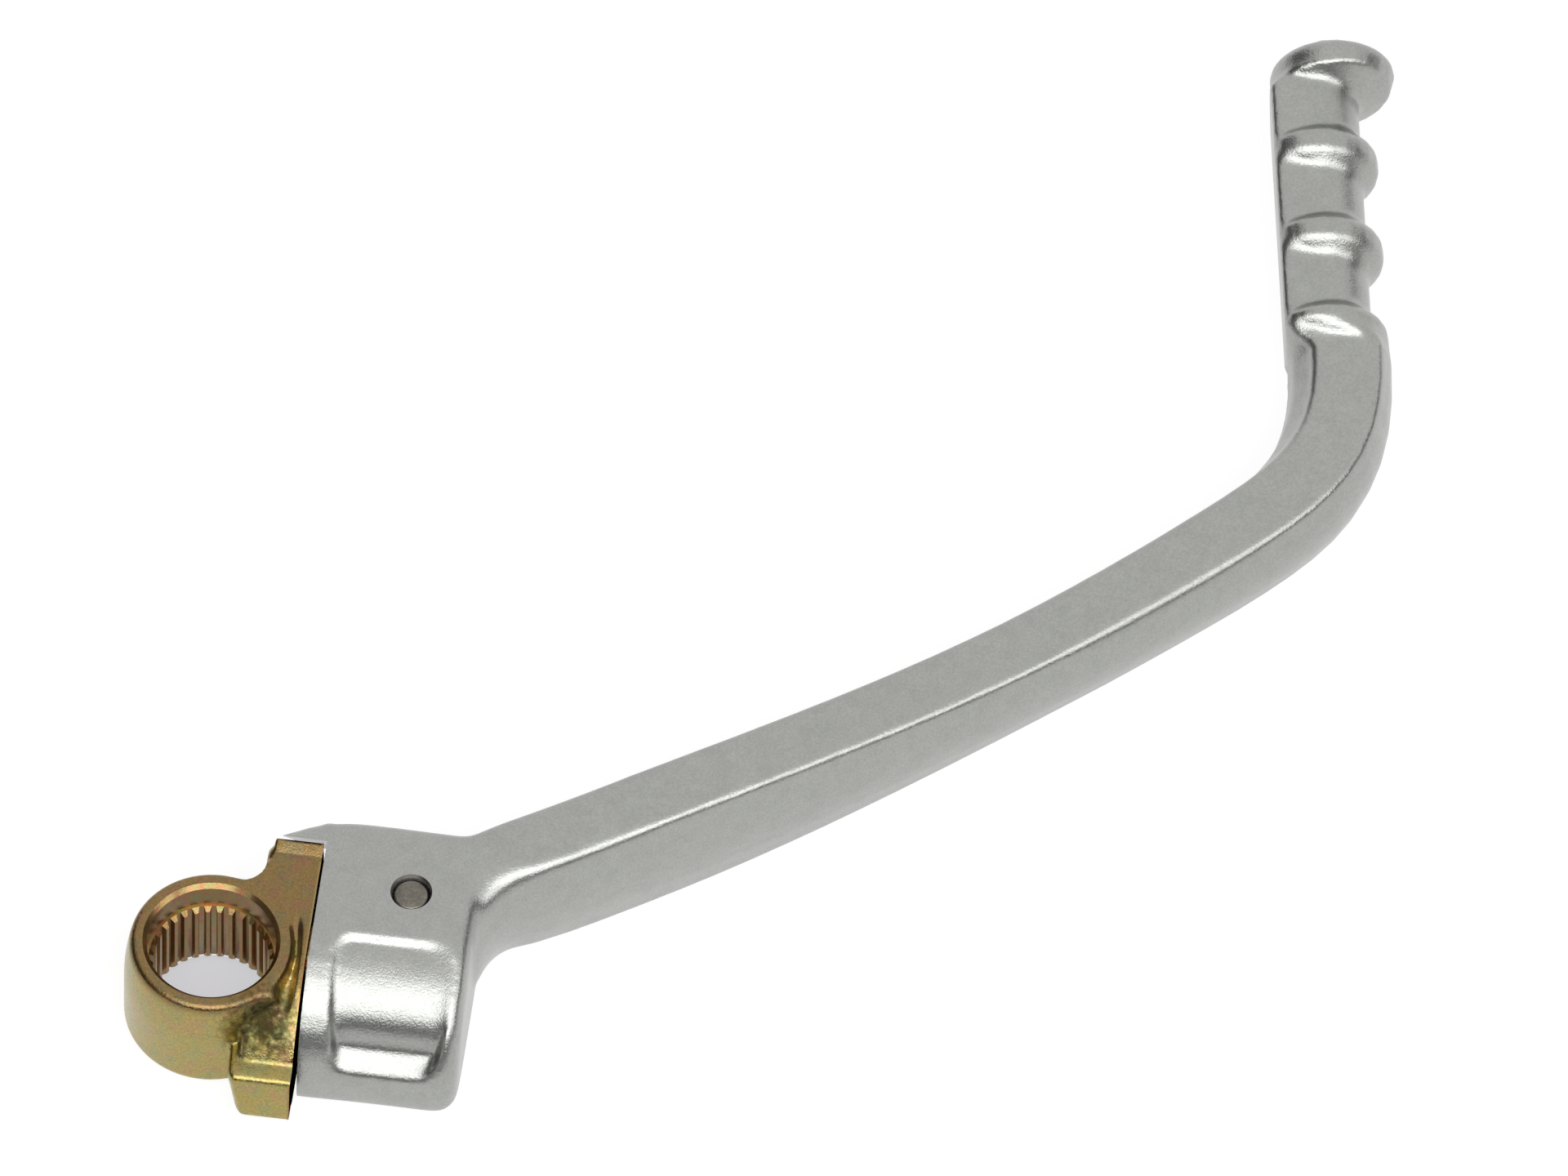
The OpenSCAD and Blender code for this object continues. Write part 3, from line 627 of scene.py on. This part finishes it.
def makeTeethTree():
    tree = bpy.data.node_groups.new("teethRound", "GeometryNodeTree")
    tree.interface.new_socket("Geometry", in_out="INPUT", socket_type="NodeSocketGeometry")
    tree.interface.new_socket("Tooth", in_out="INPUT", socket_type="NodeSocketObject")
    tree.interface.new_socket("Teeth", in_out="INPUT", socket_type="NodeSocketInt")
    tree.interface.new_socket("Finish", in_out="INPUT", socket_type="NodeSocketMaterial")
    tree.interface.new_socket("Geometry", in_out="OUTPUT", socket_type="NodeSocketGeometry")
    nodes = tree.nodes
    links = tree.links
    source = nodes.new("NodeGroupInput")
    sink = nodes.new("NodeGroupOutput")
    line = nodes.new("GeometryNodeMeshLine")
    line.mode = "OFFSET"
    line.inputs["Offset"].default_value = (0, 0, 0)
    links.new(source.outputs["Teeth"], line.inputs["Count"])
    info = nodes.new("GeometryNodeObjectInfo")
    links.new(source.outputs["Tooth"], info.inputs["Object"])
    index = nodes.new("GeometryNodeInputIndex")
    step = nodes.new("ShaderNodeMath")
    step.operation = "DIVIDE"
    step.inputs[0].default_value = 2 * math.pi
    links.new(source.outputs["Teeth"], step.inputs[1])
    turn = nodes.new("ShaderNodeMath")
    turn.operation = "MULTIPLY"
    links.new(index.outputs[0], turn.inputs[0])
    links.new(step.outputs[0], turn.inputs[1])
    angles = nodes.new("ShaderNodeCombineXYZ")
    links.new(turn.outputs[0], angles.inputs["Z"])
    copies = nodes.new("GeometryNodeInstanceOnPoints")
    links.new(line.outputs["Mesh"], copies.inputs["Points"])
    links.new(info.outputs["Geometry"], copies.inputs["Instance"])
    links.new(angles.outputs[0], copies.inputs["Rotation"])
    real = nodes.new("GeometryNodeRealizeInstances")
    links.new(copies.outputs[0], real.inputs[0])
    finish = nodes.new("GeometryNodeSetMaterial")
    links.new(real.outputs[0], finish.inputs["Geometry"])
    links.new(source.outputs["Finish"], finish.inputs["Material"])
    links.new(finish.outputs[0], sink.inputs[0])
    return tree


def socketId(tree, label):
    for item in tree.interface.items_tree:
        if item.item_type == "SOCKET" and item.in_out == "INPUT" and item.name == label:
            return item.identifier
    raise KeyError(label)


def makeTeeth():
    tooth = makeTooth()
    tree = makeTeethTree()
    teeth = addObject("splineTeeth", bpy.data.meshes.new("splineTeeth"))
    modifier = teeth.modifiers.new("teeth", "NODES")
    modifier.node_group = tree
    modifier[socketId(tree, "Tooth")] = tooth
    modifier[socketId(tree, "Teeth")] = splineSizes["teeth"]
    modifier[socketId(tree, "Finish")] = metals["zincMachined"]
    settle(teeth)
    discard(tooth)
    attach(teeth, "knuckle")
    return teeth


makeTeeth()

print("lever")

# Millimetres. Each entry of eased is a centre and a reach, within which the skin is rounded further. Each ear
# fill is a copy of the ear, moved along Y and Z and stretched from the face, that thickens it from inside.
leverSizes = {
    "face": 17.0, "top": 12.0, "voxel": 0.55, "rounds": 6, "easeRounds": 44,
    "stemY": 4.5, "boreRadius": 8.05, "boreEnd": 41.1, "borePlug": 8.6, "boreFlare": 0.9,
    "ear": 21.09, "earLow": 4.5, "earGap": 0.4,
    "earFills": (
        (-2.0, 0.0, 1.0), (-1.0, -1.6, 1.0), (-0.2, -1.2, 1.0), (-0.6, 0.0, 1.25), (-2.0, 0.0, 1.25),
    ),
    "reachFrom": 0.6, "reachTo": 1.8, "reachShift": 1.5,
    "pinX": 32.7, "pinY": 13.5, "holeRadius": 3.05, "holePlug": 3.7, "holeLow": -7.6,
    "mouth": 3.5, "mouthDepth": 0.3, "mouthStart": 1.2,
    "ballY": 11.7, "ballZ": 8.58, "ballRadius": 2.05, "ballPlug": 2.4, "ballEnd": 28.0,
    "eased": (
        ((54, 20, 12), 26),
        ((31, -17.5, -1), 15),
        ((42, -3, 10), 10),
        ((43.6, -18, -3), 12),
        ((165, 80, 12), 30),
    ),
}

# Millimetres and degrees: where the peg stands and its heading, and the end flange along the peg
pegSizes = {
    "at": (175.7, 149.1), "heading": 100.8, "shift": 0.5,
    "start": 57.2, "end": 61.7, "radius": 10.7, "fade": 4.0, "round": 2.2, "clear": 26,
}


def makeFlangeTool():
    # Turns the peg's end flange to a full round
    size = pegSizes
    turn = math.radians(size["heading"])
    away = Vector((math.cos(turn), math.sin(turn), 0))
    out = Vector((math.sin(turn), -math.cos(turn), 0))
    origin = Vector((*size["at"], 0)) + out * size["shift"]
    back = size["start"] - size["fade"]
    profile = [
        (back, size["radius"] + 3.4),
        (size["start"] - 1, size["radius"] + 0.4),
        (size["start"], size["radius"]),
    ]
    for k in range(7):
        bend = math.pi / 2 * k / 6
        along = size["end"] - size["round"] * (1 - math.sin(bend))
        profile.append((along, size["radius"] - size["round"] * (1 - math.cos(bend))))
    profile += [(size["end"] + 2, size["radius"] - size["round"]), (size["end"] + 2, size["clear"])]
    profile.append((back, size["clear"]))
    return outward(lathe("flangeTool", profile, origin, away, 128, True))


def leverPlugs():
    # Fill the lever's holes, so that the remesh leaves no ragged edge for the tools to cut
    size = leverSizes
    face = size["face"] - 0.8
    radius = size["borePlug"]
    bore = lathe("plug", [(face, radius), (size["boreEnd"] + 0.2, radius)], (0, size["stemY"], 0), (1, 0, 0))
    radius = size["holePlug"]
    spot = (size["pinX"], size["pinY"], 0)
    hole = lathe("plug", [(size["holeLow"] - 0.3, radius), (size["top"], radius)], spot, (0, 0, 1))
    radius = size["ballPlug"]
    spot = (0, size["ballY"], size["ballZ"])
    ball = lathe("plug", [(face, radius), (size["ballEnd"] + 0.2, radius)], spot, (1, 0, 0), 32)
    return [outward(bore), outward(hole), outward(ball)]


def earFills():
    size = leverSizes
    face = size["face"]
    fills = []
    for dy, dz, stretch in size["earFills"]:
        fill = cut(copyOf("lever"), boxPiece((-6, -30, -30), (face - size["earGap"], 40, 30)), "INTERSECT")
        for vertex in fill.data.vertices:
            vertex.co.x = (face + (vertex.co.x / mm - face) * stretch) * mm
            vertex.co.y += dy * mm
            vertex.co.z += dz * mm
        fills.append(fill)
    return fills


def leverTools():
    # What is machined after forging: the ear's round seat, the face, the bore, the pin's hole and the ball's
    size = leverSizes
    face = size["face"]
    axis = (0, size["stemY"], 0)
    radius = size["boreRadius"]
    bore = [(face - 1, radius + size["boreFlare"]), (face + 0.5, radius), (size["boreEnd"], radius)]
    radius = size["holeRadius"]
    hole = [
        (size["holeLow"], radius),
        (size["top"] - size["mouthStart"], radius),
        (size["top"] - size["mouthDepth"], size["mouth"]),
        (size["top"] + 1, size["mouth"] + 0.4),
    ]
    radius = size["ballRadius"]
    ball = [(face - 1, radius), (size["ballEnd"], radius)]
    return [
        lathe("tool", [(-5, size["ear"]), (face, size["ear"])], axis, (1, 0, 0), 192),
        boxPiece((-6, -60, -40), (face, 60, size["earLow"] - 0.1)),
        lathe("tool", bore, axis, (1, 0, 0)),
        lathe("tool", hole, (size["pinX"], size["pinY"], 0), (0, 0, 1)),
        lathe("tool", ball, (0, size["ballY"], size["ballZ"]), (1, 0, 0), 48),
    ]


def makeLever():
    # The forging is rounded first, more at the eased places, and then its holes and seats are cut sharp
    size = leverSizes
    body = cut(copyOf("lever"), makeFlangeTool())
    low = size["face"] + size["reachFrom"]
    high = size["face"] + size["reachTo"]
    reach = cut(copyOf("lever"), boxPiece((low, -30, -30), (high, 28, 30)), "INTERSECT")
    for vertex in reach.data.vertices:
        vertex.co.x -= size["reachShift"] * mm
    body = joined("leverForging", [body, reach] + leverPlugs() + earFills())
    soften(body, size["voxel"], size["rounds"])
    ease(body, size["eased"], size["easeRounds"])
    give(body, metals["aluminium"])
    for tool in leverTools():
        give(outward(tool), metals["machined"])
        cut(body, tool)
    smoothShade(body, 38)
    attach(body, "lever")
    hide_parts("lever")
    return body


lever = makeLever()
print("lever faces", len(lever.data.polygons))

print("pin and hidden pieces")

# Millimetres. The crown is the height of the dome on the pin's end.
pinSizes = {"radius": 3.0, "low": -7.3, "top": 11.5, "round": 0.45, "crown": 0.35, "chamfer": 0.3}


def makePin():
    size = pinSizes
    shoulder = size["top"] - size["crown"]
    flat = size["radius"] - size["round"]
    profile = [
        (size["low"], 0.01),
        (size["low"], size["radius"] - size["chamfer"]),
        (size["low"] + size["chamfer"], size["radius"]),
    ]
    for k in range(7):
        turn = math.pi / 2 * k / 6
        profile.append((shoulder - size["round"] * (1 - math.sin(turn)), flat + size["round"] * math.cos(turn)))
    for k in range(1, 9):
        share = k / 8
        profile.append((shoulder + size["crown"] * (1 - (1 - share) ** 2), max(flat * (1 - share), 0.01)))
    spot = (leverSizes["pinX"], leverSizes["pinY"], 0)
    pin = outward(lathe("retainingPin", profile, spot, (0, 0, 1)))
    give(pin, metals["pinSteel"])
    smoothShade(pin, 40)
    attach(pin, "lever")
    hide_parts("retaining_pin")


makePin()
hidden = {"detent_ball": metals["ballSteel"], "detent_spring": metals["springSteel"], "stem_seal": rubber}
for node, material in hidden.items():
    give(cad[node], material)

print("stage")

# Degrees, metres for the distance and millimetres for the rest: where the camera looks from, the width that it
# sees, and how far right and up of the bore the picture's centre is
look = {
    "azimuth": 7.9, "elevation": 56.8, "distance": 1.1, "width": 268.66, "right": 98.1, "up": 60.4,
    "anchor": 10.3, "floor": -12.05,
}


def cameraAxes():
    a = math.radians(look["azimuth"])
    e = math.radians(look["elevation"])
    right = Vector((math.cos(a), math.sin(a), 0))
    back = Vector((math.sin(a) * math.cos(e), -math.cos(a) * math.cos(e), math.sin(e)))
    return right, back.cross(right), back


def makeCamera():
    right, up, back = cameraAxes()
    target = Vector((0, 0, look["anchor"] * mm)) + right * look["right"] * mm + up * look["up"] * mm
    data = bpy.data.cameras.new("camera")
    data.type = "ORTHO"
    data.ortho_scale = look["width"] * mm
    camera = bpy.data.objects.new("camera", data)
    scene.collection.objects.link(camera)
    spot = target + back * look["distance"]
    turn = Matrix((right, up, back)).transposed()
    camera.matrix_world = Matrix.Translation(spot) @ turn.to_4x4()
    scene.camera = camera
    return target


# Metres and watts: each lamp's direction from the object, its distance and its size
lamps = {
    "front": {"way": (0.1, -0.58, 0.8), "distance": 1.6, "width": 1.9, "height": 1.5, "power": 21.0},
    "right": {"way": (0.95, -0.25, 0.65), "distance": 1.6, "width": 0.8, "height": 0.8, "power": 3.0},
}


def areaLight(name, target):
    lamp = lamps[name]
    data = bpy.data.lights.new(name, "AREA")
    data.shape = "RECTANGLE"
    data.size = lamp["width"]
    data.size_y = lamp["height"]
    data.energy = lamp["power"]
    light = bpy.data.objects.new(name, data)
    scene.collection.objects.link(light)
    way = Vector(lamp["way"]).normalized()
    light.location = target + way * lamp["distance"]
    light.rotation_euler = way.to_track_quat("Z", "Y").to_euler()


# Linear grey levels of the white floor, the grey disc under the bore, which is a painted shadow seen through the
# bore, and the room. The glow is what the camera and the metal see, the paint is what lights the rest, and the
# shadow is the share of paint in the glow.
stage = {
    "floorGlow": (0.86, 0.86, 0.86), "floorPaint": (0.82, 0.82, 0.82),
    "shadowDiscGlow": (0.50, 0.50, 0.53), "shadowDiscPaint": (0.5, 0.5, 0.5), "shadowDiscRadius": 11.3, "shadowDiscY": 0.4,
    "shadow": 0.25, "room": 0.35, "half": 3000,
}


def seenWhite(tree, shown, plain):
    # Camera, mirror and glass rays meet shown, and all other light meets plain
    nodes = tree.nodes
    links = tree.links
    path = nodes.new("ShaderNodeLightPath")
    mask = path.outputs["Is Camera Ray"]
    for label in ("Is Glossy Ray", "Is Transmission Ray"):
        both = nodes.new("ShaderNodeMath")
        both.operation = "MAXIMUM"
        links.new(mask, both.inputs[0])
        links.new(path.outputs[label], both.inputs[1])
        mask = both.outputs[0]
    mix = nodes.new("ShaderNodeMixShader")
    links.new(mask, mix.inputs[0])
    links.new(plain.outputs[0], mix.inputs[1])
    links.new(shown.outputs[0], mix.inputs[2])
    return mix


def floorPaint(name, glow, colour):
    # A glow that reads as the background, and enough plain paint to keep the shadow
    material = bpy.data.materials.new(name)
    material.use_nodes = True
    tree = material.node_tree
    tree.nodes.clear()
    plain = tree.nodes.new("ShaderNodeBsdfDiffuse")
    plain.inputs["Color"].default_value = (*colour, 1)
    light = tree.nodes.new("ShaderNodeEmission")
    light.inputs["Color"].default_value = (*glow, 1)
    shade = tree.nodes.new("ShaderNodeBsdfDiffuse")
    shade.inputs["Color"].default_value = (*[stage["shadow"]] * 3, 1)
    shown = tree.nodes.new("ShaderNodeAddShader")
    tree.links.new(light.outputs[0], shown.inputs[0])
    tree.links.new(shade.outputs[0], shown.inputs[1])
    mix = seenWhite(tree, shown, plain)
    sink = tree.nodes.new("ShaderNodeOutputMaterial")
    tree.links.new(mix.outputs[0], sink.inputs["Surface"])
    return material


# Millimetres. Dark cards at the front and sides give the metal something dark to reflect, as in a studio.
cards = {
    "cardFront": {"low": (-1300, -1210, -5), "high": (1500, -1200, 640), "colour": 0.015},
    "cardLeft": {"low": (-1310, -1100, 40), "high": (-1300, 1500, 1900), "colour": 0.14},
    "cardRight": {"low": (1500, -1100, -5), "high": (1510, 1500, 520), "colour": 0.03},
}


def makeCard(name):
    card = boxPiece(cards[name]["low"], cards[name]["high"])
    card.name = name
    give(card, plainPaint(name, cards[name]["colour"], 0.9))
    return card


def makeStage(target):
    half = stage["half"]
    floor = boxPiece((-half, -half, -60), (half, half, look["floor"]))
    floor.name = "floor"
    give(floor, floorPaint("floorWhite", stage["floorGlow"], stage["floorPaint"]))
    # A grey disc under the bore: a painted shadow, seen through the bore
    disc = [(look["floor"] - 1, stage["shadowDiscRadius"]), (look["floor"] + 0.02, stage["shadowDiscRadius"])]
    patch = outward(lathe("patch", disc, (0, stage["shadowDiscY"], 0), (0, 0, 1)))
    give(patch, floorPaint("shadowDiscGrey", stage["shadowDiscGlow"], stage["shadowDiscPaint"]))
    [makeCard(name) for name in cards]
    for name in lamps:
        areaLight(name, target)
    world = bpy.data.worlds.new("world")
    world.use_nodes = True
    tree = world.node_tree
    tree.nodes.clear()
    room = tree.nodes.new("ShaderNodeBackground")
    room.inputs["Color"].default_value = (*[stage["room"]] * 3, 1)
    white = tree.nodes.new("ShaderNodeBackground")
    white.inputs["Color"].default_value = (1, 1, 1, 1)
    mix = seenWhite(tree, white, room)
    sink = tree.nodes.new("ShaderNodeOutputWorld")
    tree.links.new(mix.outputs[0], sink.inputs[0])
    scene.world = world


makeStage(makeCamera())
scene.view_settings.view_transform = "Standard"
